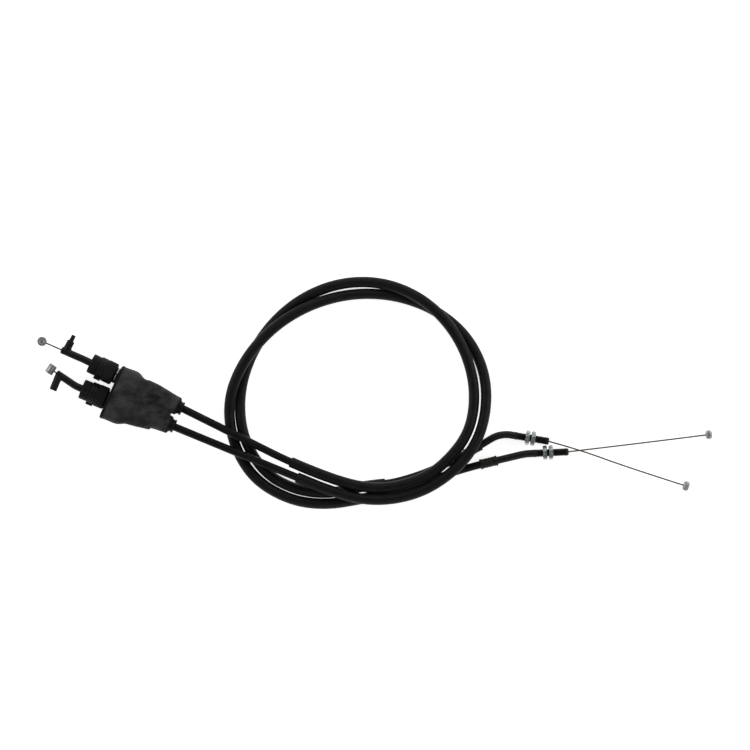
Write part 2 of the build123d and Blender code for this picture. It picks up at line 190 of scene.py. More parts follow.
def lengths_along(line):
    """How far along the line each of its points is."""
    return np.concatenate([[0], np.cumsum(np.linalg.norm(np.diff(line, axis=0), axis=1))])


def points_at(line, stations):
    """Points on the line at these distances along it."""
    along = lengths_along(line)
    return np.stack([np.interp(stations, along, line[:, k]) for k in range(3)], axis=1)


def resampled(line, step):
    """The line as points about a step apart."""
    total = lengths_along(line)[-1]
    return points_at(line, np.linspace(0, total, max(2, round(total / step) + 1)))


def sides_along(line):
    """Two unit vectors square to the line at each of its points, carried along without twist."""
    tangents = np.gradient(line, axis=0)
    tangents /= np.linalg.norm(tangents, axis=1)[:, None]
    side = np.cross([0, 0, 1.0], tangents[0])
    sides = []
    for tangent in tangents:
        side = side - tangent * (side @ tangent)
        side /= np.linalg.norm(side)
        sides.append(side)
    sides = np.array(sides)
    return sides, np.cross(tangents, sides)


def rings_along(line, radii, around, relief=None):
    """Rings of points about a line. relief(along, turn) is added to the radius."""
    sides, ups = sides_along(line)
    turn = np.linspace(0, 2 * pi, around, endpoint=False)
    along = lengths_along(line)[:, None]
    reach = np.broadcast_to(np.asarray(radii, float).reshape(-1, 1), (len(line), around)).copy()
    if relief:
        reach += relief(along, turn[None, :])
    level_part = sides[:, None, :] * np.cos(turn)[None, :, None]
    out = level_part + ups[:, None, :] * np.sin(turn)[None, :, None]
    return line[:, None, :] + out * reach[:, :, None]


def turned_rings(place, profile, around, relief=None):
    """Rings of a turned part: profile holds (along, radius) pairs in metres."""
    turn = np.linspace(0, 2 * pi, around, endpoint=False)
    rings = []
    for along, radius in profile:
        reach = radius + (relief(along, turn) if relief else 0 * turn)
        rings.append(np.stack([reach * np.cos(turn), reach * np.sin(turn), along + 0 * turn], axis=1))
    return moved(place, np.array(rings))


# ---- meshes -------------------------------------------------------------------------------------
def ring_faces(count, around, offset, looped):
    """Faces between neighbouring rings, with end caps unless the last ring joins the first."""
    faces = []
    for i in range(count if looped else count - 1):
        low, high = offset + i * around, offset + (i + 1) % count * around
        for k in range(around):
            n = (k + 1) % around
            faces.append((low + k, low + n, high + n, high + k))
    if not looped:
        faces.append(tuple(offset + k for k in reversed(range(around))))
        faces.append(tuple(offset + (count - 1) * around + k for k in range(around)))
    return faces


def skin(name, *shells, looped=False, sharp=38):
    """One mesh over one or more stacks of rings. A looped stack is a tube with a bore."""
    points, faces, offset = [], [], 0
    for rings in shells:
        count, around = rings.shape[:2]
        faces += ring_faces(count, around, offset, looped)
        points.append(rings.reshape(-1, 3))
        offset += count * around
    mesh = bpy.data.meshes.new(name)
    mesh.from_pydata(np.concatenate(points).tolist(), [], faces)
    return placed(name, mesh, sharp)


def smoothed(mesh, sharp):
    """Smooth shading, except over edges sharper than this many degrees."""
    mesh.polygons.foreach_set("use_smooth", [True] * len(mesh.polygons))
    mesh.set_sharp_from_angle(angle=radians(sharp))


def placed(name, mesh, sharp):
    mesh.validate()
    smoothed(mesh, sharp)
    piece = bpy.data.objects.new(name, mesh)
    bpy.context.scene.collection.objects.link(piece)
    return piece


def applied(piece, kind, **settings):
    """The piece with one modifier worked into its mesh."""
    modifier = piece.modifiers.new(kind.lower(), kind)
    for key, value in settings.items():
        setattr(modifier, key, value)
    shown = piece.evaluated_get(bpy.context.evaluated_depsgraph_get())
    mesh = bpy.data.meshes.new_from_object(shown)
    piece.modifiers.clear()
    piece.data = mesh
    mesh.name = piece.name
    return piece


def fused(piece, voxel, smoothing):
    """Overlapping shells melted into one skin with soft joins."""
    applied(piece, "REMESH", mode="VOXEL", voxel_size=voxel, use_smooth_shade=True)
    return applied(piece, "SMOOTH", factor=0.5, iterations=smoothing)


def carved(piece, cutter):
    """The piece with the cutter taken out of it."""
    applied(piece, "BOOLEAN", operation="DIFFERENCE", object=cutter, solver="EXACT")
    bpy.data.objects.remove(cutter)
    return piece


def soften(profile, radius, steps=3):
    """The profile with its corners rounded. Its ends stay as they are."""
    points = [Vector(p) for p in profile]
    out = [points[0]]
    for before, corner, after in zip(points, points[1:], points[2:]):
        reach_in, reach_out = before - corner, after - corner
        cut = min(radius, 0.45 * reach_in.length, 0.45 * reach_out.length)
        a = corner + reach_in.normalized() * cut
        b = corner + reach_out.normalized() * cut
        for k in range(steps + 1):
            t = k / steps
            out.append(a * (1 - t) ** 2 + corner * 2 * t * (1 - t) + b * t * t)
    out.append(points[-1])
    return [tuple(p) for p in out]


def in_mm(*pairs):
    """Pairs of millimetres as pairs of metres."""
    return [(a * MM, b * MM) for a, b in pairs]


# ---- materials ----------------------------------------------------------------------------------
def nodes_of(material):
    material.use_nodes = True
    tree = material.node_tree
    return tree, tree.nodes["Principled BSDF"]


def noise(tree, scale, detail=3.0, rough=0.55, stretch=None):
    """A noise value over the piece's own coordinates. scale is in features per metre."""
    place = tree.nodes.new("ShaderNodeTexCoord")
    texture = tree.nodes.new("ShaderNodeTexNoise")
    texture.inputs["Scale"].default_value = scale
    texture.inputs["Detail"].default_value = detail
    texture.inputs["Roughness"].default_value = rough
    source = place.outputs["Object"]
    if stretch:
        mapping = tree.nodes.new("ShaderNodeMapping")
        mapping.inputs["Scale"].default_value = stretch
        tree.links.new(source, mapping.inputs["Vector"])
        source = mapping.outputs["Vector"]
    tree.links.new(source, texture.inputs["Vector"])
    return texture.outputs["Fac"]


def ramp(tree, source, *stops):
    """Colours or greys at places along a value."""
    node = tree.nodes.new("ShaderNodeValToRGB")
    elements = node.color_ramp.elements
    while len(elements) < len(stops):
        elements.new(0.5)
    for element, (place, colour) in zip(elements, stops):
        element.position = place
        element.color = (*colour, 1)
    tree.links.new(source, node.inputs["Fac"])
    return node.outputs["Color"]


def spread(tree, source, low, high):
    """A noise value stretched to run from low to high."""
    node = tree.nodes.new("ShaderNodeMapRange")
    node.inputs["From Min"].default_value = 0.3
    node.inputs["From Max"].default_value = 0.7
    node.inputs["To Min"].default_value = low
    node.inputs["To Max"].default_value = high
    tree.links.new(source, node.inputs["Value"])
    return node.outputs["Result"]


def bump(tree, shader, *layers):
    """Bump layers of (value, height in metres)."""
    normal = None
    for value, height in layers:
        node = tree.nodes.new("ShaderNodeBump")
        node.inputs["Strength"].default_value = 1.0
        node.inputs["Distance"].default_value = height
        tree.links.new(value, node.inputs["Height"])
        if normal:
            tree.links.new(normal, node.inputs["Normal"])
        normal = node.outputs["Normal"]
    tree.links.new(normal, shader.inputs["Normal"])


def solid(name, colours, rough, metallic=0.0, patch=120.0, grain=4000.0, grain_height=0.02 * MM,
          specular=0.5):
    """A material whose colour and roughness drift in patches under a fine grain."""
    material = bpy.data.materials.new(name)
    tree, shader = nodes_of(material)
    shader.inputs["Metallic"].default_value = metallic
    shader.inputs["Specular IOR Level"].default_value = specular
    patches = noise(tree, patch, 4.0)
    dark, light = colours
    tree.links.new(ramp(tree, patches, (0.35, dark), (0.68, light)), shader.inputs["Base Color"])
    tree.links.new(spread(tree, noise(tree, patch * 2.3, 3.0), *rough), shader.inputs["Roughness"])
    bump(tree, shader, (noise(tree, grain, 2.0), grain_height))
    return material


def grey(value, warm=0.0):
    return (value * (1 + warm), value, value * (1 - warm))


def boot_rubber():
    """Dull dark grey rubber with smeared blotches, drawn near black at its beaded front edge and the lobes'
    ends.
    """
    material = bpy.data.materials.new("boot_rubber")
    tree, shader = nodes_of(material)
    shader.inputs["Specular IOR Level"].default_value = 0.2
    blotches = ramp(
        tree, noise(tree, 70.0, 4.0, 0.6, stretch=(1.0, 1.6, 1.0)),
        (0.36, (0.014, 0.013, 0.014)), (0.5, (0.044, 0.041, 0.042)), (0.66, (0.075, 0.071, 0.073)),
    )
    speckle = ramp(tree, noise(tree, 1500.0, 3.0), (0.3, grey(0.65)), (0.7, grey(1.0)))
    mixed = tree.nodes.new("ShaderNodeMix")
    mixed.data_type = "RGBA"
    mixed.blend_type = "MULTIPLY"
    mixed.inputs["Factor"].default_value = 1.0
    tree.links.new(blotches, mixed.inputs["A"])
    tree.links.new(speckle, mixed.inputs["B"])
    # the lip attribute draws the beaded front edge and the lobes' ends near black
    lip = tree.nodes.new("ShaderNodeAttribute")
    lip.attribute_name = "lip"
    edged = tree.nodes.new("ShaderNodeMix")
    edged.data_type = "RGBA"
    tree.links.new(lip.outputs["Fac"], edged.inputs["Factor"])
    tree.links.new(mixed.outputs["Result"], edged.inputs["A"])
    edged.inputs["B"].default_value = (0.004, 0.004, 0.004, 1)
    tree.links.new(edged.outputs["Result"], shader.inputs["Base Color"])
    tree.links.new(spread(tree, noise(tree, 160.0, 3.0), 0.62, 0.85), shader.inputs["Roughness"])
    bump(tree, shader, (noise(tree, 220.0, 3.0), 0.25 * MM), (noise(tree, 3500.0, 2.0), 0.04 * MM))
    return material


MATERIALS = {
    "jacket": solid(
        "jacket", (grey(0.003), grey(0.007)), (0.42, 0.55), grain_height=0.01 * MM, specular=0.16,
    ),
    "sleeve": solid(
        "sleeve", (grey(0.004), grey(0.008)), (0.44, 0.58), grain_height=0.015 * MM, specular=0.18,
    ),
    "boot_rubber": boot_rubber(),
    "black_plastic": solid(
        "black_plastic", (grey(0.004), grey(0.009)), (0.45, 0.6), grain=2600.0, specular=0.2,
    ),
    "black_metal": solid(
        "black_metal", (grey(0.004, 0.12), grey(0.009, 0.15)), (0.34, 0.5), grain_height=0.012 * MM,
        specular=0.25,
    ),
    "plated_steel": solid(
        "plated_steel", ((0.30, 0.32, 0.32), (0.62, 0.66, 0.66)), (0.20, 0.38), metallic=1.0, patch=420.0,
    ),
    "zinc": solid(
        "zinc", (grey(0.30, 0.01), grey(0.55, 0.01)), (0.32, 0.55), metallic=0.9, patch=500.0,
        grain=2500.0, grain_height=0.04 * MM,
    ),
    "steel_wire": solid(
        "steel_wire", (grey(0.13, 0.20), grey(0.26, 0.16)), (0.35, 0.55), metallic=0.9, patch=900.0,
    ),
    "seal_rubber": solid("seal_rubber", (grey(0.008), grey(0.014)), (0.55, 0.7), grain=2000.0),
}


def dress(piece, material, body, slot, *nodes):
    """Gives a piece its material, the body it moves with and the CAD nodes it stands for; its slot is not
    used.
    """
    piece.data.materials.clear()
    piece.data.materials.append(MATERIALS[material])
    if body:
        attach(piece, body)
    if nodes:
        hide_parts(*nodes)
    return piece


# ---- camera, floor and light --------------------------------------------------------------------
VIEW_WIDTH = 0.5625
VIEW_CENTRE = (-0.00075, 0.0285)
LENS_MM = 200.0
SENSOR_MM = 36.0
OBJECT_HEIGHT = 0.008
FLOOR_HALF_WIDTH = 4.0
FLOOR_GLOW = 0.78


def add_camera():
    data = bpy.data.cameras.new("camera")
    data.lens = LENS_MM
    data.sensor_width = SENSOR_MM
    camera = bpy.data.objects.new("camera", data)
    camera.location = (*VIEW_CENTRE, OBJECT_HEIGHT + VIEW_WIDTH / 2 / (SENSOR_MM / 2 / LENS_MM))
    bpy.context.scene.collection.objects.link(camera)
    bpy.context.scene.camera = camera


def add_floor():
    mesh = bpy.data.meshes.new("floor")
    half, lowest = FLOOR_HALF_WIDTH, cad_box[0][2]
    corners = [(-half, -half, lowest), (half, -half, lowest), (half, half, lowest), (-half, half, lowest)]
    mesh.from_pydata(corners, [], [(0, 1, 2, 3)])
    floor = bpy.data.objects.new("floor", mesh)
    bpy.context.scene.collection.objects.link(floor)
    material = bpy.data.materials.new("floor")
    tree, shader = nodes_of(material)
    tone = ramp(tree, noise(tree, 3.0), (0.3, grey(0.88)), (0.7, grey(0.90)))
    tree.links.new(tone, shader.inputs["Base Color"])
    shader.inputs["Roughness"].default_value = 0.9
    shader.inputs["Specular IOR Level"].default_value = 0.2
    shader.inputs["Emission Color"].default_value = (1, 1, 1, 1)
    shader.inputs["Emission Strength"].default_value = FLOOR_GLOW
    mesh.materials.append(material)


def add_light(name, place, size, power):
    data = bpy.data.lights.new(name, "AREA")
    data.shape = "RECTANGLE"
    data.size, data.size_y = size
    data.energy = power
    light = bpy.data.objects.new(name, data)
    light.location = place
    light.rotation_mode = "QUATERNION"
    light.rotation_quaternion = (-Vector(place)).to_track_quat("-Z", "Y")
    bpy.context.scene.collection.objects.link(light)


def add_lights():
    add_light("left_softbox", (-1.7, 0.4, 1.25), (1.6, 1.0), 11)
    add_light("right_softbox", (1.7, 0.3, 1.25), (1.6, 1.0), 13)
    add_light("far_softbox", (0.1, 1.7, 1.2), (2.0, 1.0), 10)
    add_light("near_softbox", (0.0, -1.8, 1.2), (2.0, 1.0), 8)
    world = bpy.data.worlds.new("studio")
    bpy.context.scene.world = world
    world.use_nodes = True
    background = world.node_tree.nodes["Background"]
    background.inputs["Color"].default_value = (1, 1, 1, 1)
    background.inputs["Strength"].default_value = 0.12
    bpy.context.scene.view_settings.view_transform = "Standard"


add_camera()
add_floor()
add_lights()


# ---- cords --------------------------------------------------------------------------------------
def nurbs_curve(name, route, radius, steps):
    """A round cord along a route's control points."""
    data = bpy.data.curves.new(name, "CURVE")
    data.dimensions = "3D"
    spline = data.splines.new("NURBS")
    spline.points.add(len(route) - 1)
    for point, place in zip(spline.points, route):
        point.co = (*place, 1)
    spline.order_u = 3
    spline.use_endpoint_u = True
    spline.resolution_u = steps
    data.bevel_depth = radius
    data.bevel_resolution = 8
    data.use_fill_caps = True
    cord = bpy.data.objects.new(name, data)
    bpy.context.scene.collection.objects.link(cord)
    return cord


def centre_line(cord):
    """The points of a cord's own spline."""
    bare = bpy.data.objects.new("bare", cord.data.copy())
    bare.data.bevel_depth = 0
    mesh = bpy.data.meshes.new_from_object(bare)
    line = np.array([v.co for v in mesh.vertices])
    bpy.data.meshes.remove(mesh)
    bpy.data.objects.remove(bare)
    return line


def sleeve_over(name, line, start, before_end):
    """The loose outer sleeve over part of a housing, with rounded lips and a slight unevenness."""
    end = lengths_along(line)[-1] - before_end
    step, lip, bevel = 1.6 * MM, 0.5 * MM, 0.15 * MM
    middle = np.linspace(start, end, round((end - start) / step))[1:-1]
    stations = np.concatenate([[start, start + bevel, start + lip], middle, [end - lip, end - bevel, end]])
    centres = points_at(line, stations)
    radii = np.full(len(stations), SLEEVE_R)
    radii[[0, -1]] -= 0.35 * MM
    radii[[1, -2]] -= 0.12 * MM

    def uneven(along, turn):
        return 0.02 * MM * np.sin(along / (9 * MM)) * np.cos(2 * turn)

    outer = rings_along(centres, radii, 40, uneven)
    bore = [ring_at(ring, centre, SLEEVE_BORE_R) for ring, centre in zip(outer[::-1], centres[::-1])]
    return skin(name, np.concatenate([outer, bore]), looped=True)


def ring_at(ring, centre, radius):
    """The ring drawn in or out to a radius."""
    out = ring - centre
    return centre + out / np.linalg.norm(out, axis=1)[:, None] * radius


def stranded_wire(name, line, count=12, lay=9.0 * MM):
    """A stranded wire: a core with a layer of strands laid round it."""
    strand_r = 0.125 * MM
    fine = resampled(line, 0.45 * MM)
    sides, ups = sides_along(fine)
    along = lengths_along(fine)
    shells = [rings_along(fine, WIRE_R - 1.7 * strand_r, 12)]
    turn = np.linspace(0, 2 * pi, 6, endpoint=False)
    for k in range(count):
        phase = 2 * pi * (k / count + along / lay)
        out = sides * np.cos(phase)[:, None] + ups * np.sin(phase)[:, None]
        across = ups * np.cos(phase)[:, None] - sides * np.sin(phase)[:, None]
        centres = fine + out * (WIRE_R - strand_r)
        spokes = out[:, None, :] * np.cos(turn)[None, :, None]
        spokes = spokes + across[:, None, :] * np.sin(turn)[None, :, None]
        shells.append(centres[:, None, :] + strand_r * spokes)
    return skin(name, *shells, sharp=80)


# ---- grip end -----------------------------------------------------------------------------------
def grip_frame(cable):
    """The adjuster's axis: its origin is the lock nut's front face, its Z runs towards the loop."""
    start, corner = Vector(cable["route"][0]), Vector(cable["route"][2])
    direction = (corner - start).normalized()
    return frame_at(start - direction * HOUSING_START, direction)


def guide_line(place, cable):
    """From the end of the stud inside the adjuster out to the mouth, the mouth and its direction."""
    out = -axis_of(place)
    front = place.translation
    stud_end = front - out * STUD_LENGTH
    corner = front + out * cable["guide_straight"] * MM
    angle = radians(cable["guide_turn"])
    turned = Matrix.Rotation(angle, 3, "Z") @ out
    mouth = corner + turned * (cable["guide_length"] - cable["guide_straight"]) * MM
    return bent_tube_line(stud_end, corner, mouth, GUIDE_BEND_RADIUS), mouth, turned


def peg_frame(place, cable, mouth, out):
    """A frame on the guide's centre line whose Z runs out along the peg."""
    side = place.to_3x3().col[0] * cable["peg_side"]
    up = Vector((0, 0, 1))
    peg = Matrix((up.cross(side), up, side)).transposed().to_4x4()
    peg.translation = mouth - out * cable["peg_from_mouth"] * MM
    return peg


def grip_guide(name, place, cable):
    """The bent guide tube with a rounded mouth and the boss that holds the peg."""
    line, mouth, out = guide_line(place, cable)
    total = lengths_along(line)[-1]
    rim = 1.1 * MM
    straight = np.linspace(0, total - rim, 60)
    turns = np.linspace(0, pi / 2, 6)[1:]
    stations = np.concatenate([straight, total - rim + rim * np.sin(turns)])
    radii = np.concatenate([np.full(len(straight), GUIDE_R), GUIDE_R - rim + rim * np.cos(turns)])
    outer = rings_along(points_at(line, stations), radii, 48)
    peg = peg_frame(place, cable, mouth, out)
    boss_outline = soften(in_mm((-2.2, 0.2), (-2.2, 2.6), (4.7, 3.1), (4.7, 0.2)), 0.7 * MM)
    boss = turned_rings(peg, boss_outline, 40)
    body = fused(skin(name, outer, boss), 0.24 * MM, 2)
    bore_line = np.vstack([points_at(line, np.linspace(1 * MM, total, 40)), [mouth + out * MM]])
    cutter = skin("bore", rings_along(bore_line, GUIDE_BORE_R, 32))
    return carved(body, cutter), peg, mouth, out


def locating_peg(name, peg, cable):
    """A moulded peg: a rounded square shank, and on the pull cable a thinner tip."""
    shoulder, tip, tip_r = cable["peg_shoulder"], cable["peg_tip"], cable["peg_tip_r"]
    outline = [(4.6, 0.3), (4.6, 2.55), (shoulder, 2.5)]
    if tip > shoulder:
        outline += [(shoulder, tip_r), (tip, tip_r - 0.1), (tip, 0.7), (tip - 0.8, 0.5)]
    else:
        outline += [(shoulder, 1.0), (shoulder - 0.6, 0.8)]
    turn = np.linspace(0, 2 * pi, 48, endpoint=False)
    eighth = turn + pi / 4
    squared = (np.abs(np.cos(eighth)) ** 3 + np.abs(np.sin(eighth)) ** 3) ** (-1 / 3)
    rings = []
    for along, radius in soften(in_mm(*outline), 0.4 * MM):
        is_shank = along < shoulder * MM + 1e-9 and radius > tip_r * MM
        reach = radius * (squared if is_shank else 1 + 0 * turn)
        rings.append(np.stack([reach * np.cos(turn), reach * np.sin(turn), along + 0 * turn], axis=1))
    return skin(name, moved(peg, np.array(rings)))


def fluted_nut(name, place):
    """The knurled lock nut, with 22 shallow flutes."""
    def flutes(along, turn):
        return -0.42 * MM * np.maximum(0, np.cos(turn * 22)) ** 2 * (0.8 * MM < along < 5.7 * MM)

    edges = in_mm((0, 4.1), (0, 7.1), (0.35, 7.4), (0.5, 7.5), (6.0, 7.5), (6.15, 7.4), (6.4, 7.1),
                  (6.4, 4.1))
    outline = soften(edges, 0.12 * MM)
    profile = [point for point in outline if point[0] < 0.7 * MM]
    profile += [(along, LOCK_NUT_R) for along in np.linspace(0.8 * MM, 5.7 * MM, 10)]
    profile += [point for point in outline if point[0] > 5.8 * MM]
    relief = outside_only(flutes, 6.9 * MM, profile)
    return skin(name, turned_rings(place, profile, 176, relief), looped=True)


def outside_only(relief, least, profile):
    """Relief that leaves the bore and the end faces alone."""
    radius_at = {round(along, 9): radius for along, radius in profile}

    def limited(along, turn):
        return relief(along, turn) if radius_at[round(along, 9)] > least else 0 * turn

    return limited


def lock_ring(name, place):
    """A plain ring with a groove round it and a thumb tab on one side."""
    def tab(turn):
        away = np.abs(turn % (2 * pi) - pi)
        share = np.clip((0.29 - away) / 0.06, 0, 1)
        return (LOCK_RING_TAB_R - LOCK_RING_R) * share * share * (3 - 2 * share)

    profile = in_mm((6.6, 4.1), (6.6, 8.0), (6.7, 8.2), (6.9, 8.3), (9.0, 8.3), (9.2, 8.1), (9.4, 8.3),
                    (11.5, 8.3), (11.7, 8.2), (11.8, 8.0), (11.8, 4.1))
    radii = dict(profile)

    def outside(along, turn):
        return tab(turn) if radii[along] > 7.5 * MM else 0 * turn

    return skin(name, turned_rings(place, profile, 160, outside), looped=True)


def knurled_barrel(name, place):
    """The adjuster's knurled grip with its smooth neck."""
    low, high = 12.9 * MM, 19.1 * MM
    depth = 0.34 * MM
    count = 36
    pitch = 2 * pi * BARREL_R / count

    def diamonds(along, turn):
        if not low <= along <= high:
            return 0 * turn
        cuts = []
        for lean in (1, -1):
            wave = np.abs((turn * count / (2 * pi) + lean * (along - low) / pitch) % 1 - 0.5) * 2
            cuts.append(np.clip(wave * 1.8 - 0.8, 0, 1))
        return -depth * np.maximum(*cuts)

    profile = in_mm((12.0, 4.1), (12.0, 8.1), (12.15, 8.3), (12.4, 8.4))
    profile += [(along, BARREL_R) for along in np.linspace(low, high, 34)]
    profile += in_mm((19.3, 8.35), (19.7, 8.0), (20.0, 7.4), (20.0, 6.3), (20.3, 6.0), (29.4, 6.0),
                     (29.8, 5.8), (30.0, 5.4), (30.0, 3.8), (22.1, 3.8), (20.6, 4.1))
    return skin(name, turned_rings(place, profile, 288, diamonds), looped=True)


def neck_band(name, place):
    """A bright clip round the adjuster's neck."""
    profile = in_mm((21.0, 5.9), (21.0, 6.15), (21.2, 6.3), (21.8, 6.3), (22.0, 6.15), (22.0, 5.9))
    return skin(name, turned_rings(place, profile, 64), looped=True)


def cast_outline(radius, half):
    """A barrel with soft edges, dimpled ends and a parting line."""
    floor, rim = half - 0.25 * MM, radius * 0.55
    side = [(0.12 * MM, radius), (half, radius), (half, rim), (floor, radius * 0.45), (floor, 0.02 * MM)]
    mirrored = [(-along, r) for along, r in reversed(side)]
    return soften(mirrored + [(0, radius + 0.06 * MM)] + side, 0.6 * MM, 4)


def pillow_outline(radius, half):
    """A barrel whose sides run into its ends in one curve."""
    turns = np.linspace(0.01, pi - 0.01, 32)
    return [(-half * np.sign(cos(t)) * abs(cos(t)) ** 0.65, radius * sin(t) ** 0.65) for t in turns]


def nipple_with_hole(name, place, radius, profile, hole):
    """A turned nipple with a hole for the wire through its side."""
    body = skin(name, turned_rings(place, profile, 56))
    drill = [(-radius * 1.6, WIRE_HOLE_R), (radius * 0.2, WIRE_HOLE_R)]
    cutter = skin("hole", turned_rings(hole, drill, 24))
    return carved(body, cutter)


def recessed(nipple, centre, radius):
    """Sinks a round recess into the nipple's upper side."""
    upright = Matrix.Translation(centre)
    profile = [(radius - 0.35 * MM, 0.9 * MM), (radius + 0.2 * MM, 1.5 * MM), (radius + MM, 1.5 * MM)]
    return carved(nipple, skin("recess", turned_rings(upright, profile, 32)))


def build_grip_end(name, cable):
    place = grip_frame(cable)
    guide, peg, mouth, out = grip_guide(f"{name}_grip_guide_shown", place, cable)
    dress(guide, "black_metal", f"{name}_guide", "black_metal", f"{name}_grip_guide")
    dress(locating_peg(f"{name}_locating_peg_shown", peg, cable), "black_plastic", f"{name}_guide",
          "black_plastic", f"{name}_locating_peg")
    dress(fluted_nut(f"{name}_lock_nut_shown", place), "black_plastic", f"{name}_lock_nut",
          "black_plastic", f"{name}_lock_nut")
    dress(lock_ring(f"{name}_lock_ring_shown", place), "black_plastic", f"{name}_lock_ring",
          "black_plastic", f"{name}_lock_ring")
    dress(knurled_barrel(f"{name}_adjuster_shown", place), "black_plastic", f"{name}_adjuster",
          "black_plastic", f"{name}_adjuster_barrel")
    dress(neck_band(f"{name}_neck_band", place), "plated_steel", f"{name}_adjuster", "plated_steel")
    # the wire and its nipple on the line out of the mouth
    nipple_at = mouth + out * cable["grip_from_mouth"] * MM
    inside = mouth - out * cable["grip_tail"] * MM
    wire_line = np.array([inside, nipple_at + out * WIRE_PAST_NIPPLE_CENTRE])
    wire = stranded_wire(f"{name}_grip_wire_shown", wire_line)
    slides = cable["grip_tail"] * MM > GRIP_TRAVEL
    dress(wire, "steel_wire", f"{name}_grip_end" if slides else None, "steel_wire", f"{name}_grip_wire")
    if not slides:
        # a well bent guide holds only a short straight tail, so this wire draws out behind its nipple
        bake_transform(wire)
    if cable["grip_upright"]:
        barrel = Matrix.Translation(nipple_at)
    else:
        barrel = frame_at(nipple_at, out.cross(Vector((0, 0, 1))))
    radius = cable["grip_r"] * MM
    outline = cast_outline(radius, cable["grip_barrel"] / 2 * MM)
    nipple = nipple_with_hole(f"{name}_grip_nipple_shown", barrel, radius, outline,
                              frame_at(nipple_at, out))
    dress(nipple, "zinc", f"{name}_grip_end", "zinc", f"{name}_grip_nipple")


# ---- carburettor end ----------------------------------------------------------------------------
def carb_frames(cable):
    """The ferrule's frame, the guide tube's corner, and the frame of the threaded mouth."""
    last, before = Vector(cable["route"][-1]), Vector(cable["route"][-2])
    direction = (last - before).normalized()
    ferrule = frame_at(last - direction * HOUSING_SEAT, direction)
    corner = ferrule.translation + direction * cable["carb_corner"] * MM
    end = level(cable["carb_angle"])
    return ferrule, corner, frame_at(corner + end * cable["carb_end"] * MM, end)


def ferrule_piece(name, place):
    """A crimped cup: two rolled collars and three crimp grooves."""
    length = FERRULE_LENGTH / MM
    profile = in_mm((0.25, 2.92), (0, 3.1), (0, 3.75), (0.3, 3.95), (1.3, 3.95), (1.6, 3.65))
    for groove in (3.6, 6.2, 8.8):
        profile += in_mm((groove - 0.5, 3.65), (groove, 3.42), (groove + 0.5, 3.65))
    profile += in_mm((length - 1.6, 3.65), (length - 1.3, 3.95), (length - 0.3, 3.95), (length, 3.75),
                     (length, 3.1), (length - 0.25, 2.85))
    return skin(name, turned_rings(place, profile, 56), looped=True)


def threaded_guide(name, ferrule, corner, mouth, cable):
    """The bent tube from the ferrule, with a cut thread along its last stretch."""
    start = ferrule.translation + axis_of(ferrule) * GUIDE_SEAT
    line = bent_tube_line(start, corner, mouth.translation, cable["carb_bend"] * MM)
    total = lengths_along(line)[-1]
    thread_start = total - THREAD_LENGTH
    smooth = np.linspace(0, thread_start - 0.5 * MM, 60)
    threaded = np.arange(thread_start, total - 0.5 * MM, THREAD_PITCH / 9)
    stations = np.concatenate([smooth, [thread_start - 0.1 * MM], threaded, [total - 0.4 * MM, total]])
    radii = np.full(len(stations), GUIDE_R)
    radii[len(smooth) + 1:] = THREAD_R
    radii[-1] = THREAD_R - 0.45 * MM

    def thread(along, turn):
        wave = np.abs(((along - thread_start) / THREAD_PITCH - turn / (2 * pi)) % 1 - 0.5) * 2
        fade_in = np.clip((along - thread_start) / (2 * MM), 0, 1)
        fade_out = np.clip((total - 0.45 * MM - along) / (0.5 * MM), 0, 1)
        return -THREAD_DEPTH * np.clip(wave * 1.25 - 0.12, 0, 1) * fade_in * fade_out

    return skin(name, rings_along(points_at(line, stations), radii, 48, thread), sharp=50)


def end_seal(name, mouth):
    """A rubber plug with a flange against the threaded end."""
    profile = in_mm((-2.8, 1.1), (-2.8, 1.5), (-0.1, 1.5), (0.0, 2.7), (0.9, 2.7), (1.35, 2.5), (1.6, 2.0),
                    (1.6, 1.1), (0.9, 0.72), (-2.0, 0.72))
    return skin(name, turned_rings(mouth, profile, 40), looped=True)


def hex_nut(name, mouth, setback):
    """A thin plated nut: six flats under a turned chamfer, and a countersunk bore."""
    back = -setback * MM
    front = back + LOCKNUT_THICKNESS
    flat = LOCKNUT_HALF_FLATS
    corner = flat / cos(pi / 6)
    bevel, countersink = 0.45 * MM, 0.4 * MM
    shoulder_r, face_r = (flat + corner) / 2 * 0.985, flat * 0.97
    turn = np.linspace(0, 2 * pi, 144, endpoint=False)
    hexagon = flat / np.cos((turn - LOCKNUT_TURN) % (pi / 3) - pi / 6)
    outside = [(back, face_r), (back + bevel / 2, shoulder_r), (back + bevel, corner),
               (front - bevel, corner), (front - bevel / 2, shoulder_r), (front, face_r)]
    bore = [(front, 3.4 * MM), (front - countersink, 3.06 * MM), (back + countersink, 3.06 * MM),
            (back, 3.4 * MM)]
    rings = []
    for along, limit in outside + bore:
        reach = np.minimum(hexagon, limit)
        rings.append(np.stack([reach * np.cos(turn), reach * np.sin(turn), along + 0 * turn], axis=1))
    return skin(name, moved(mouth, np.array(rings)), looped=True, sharp=20)


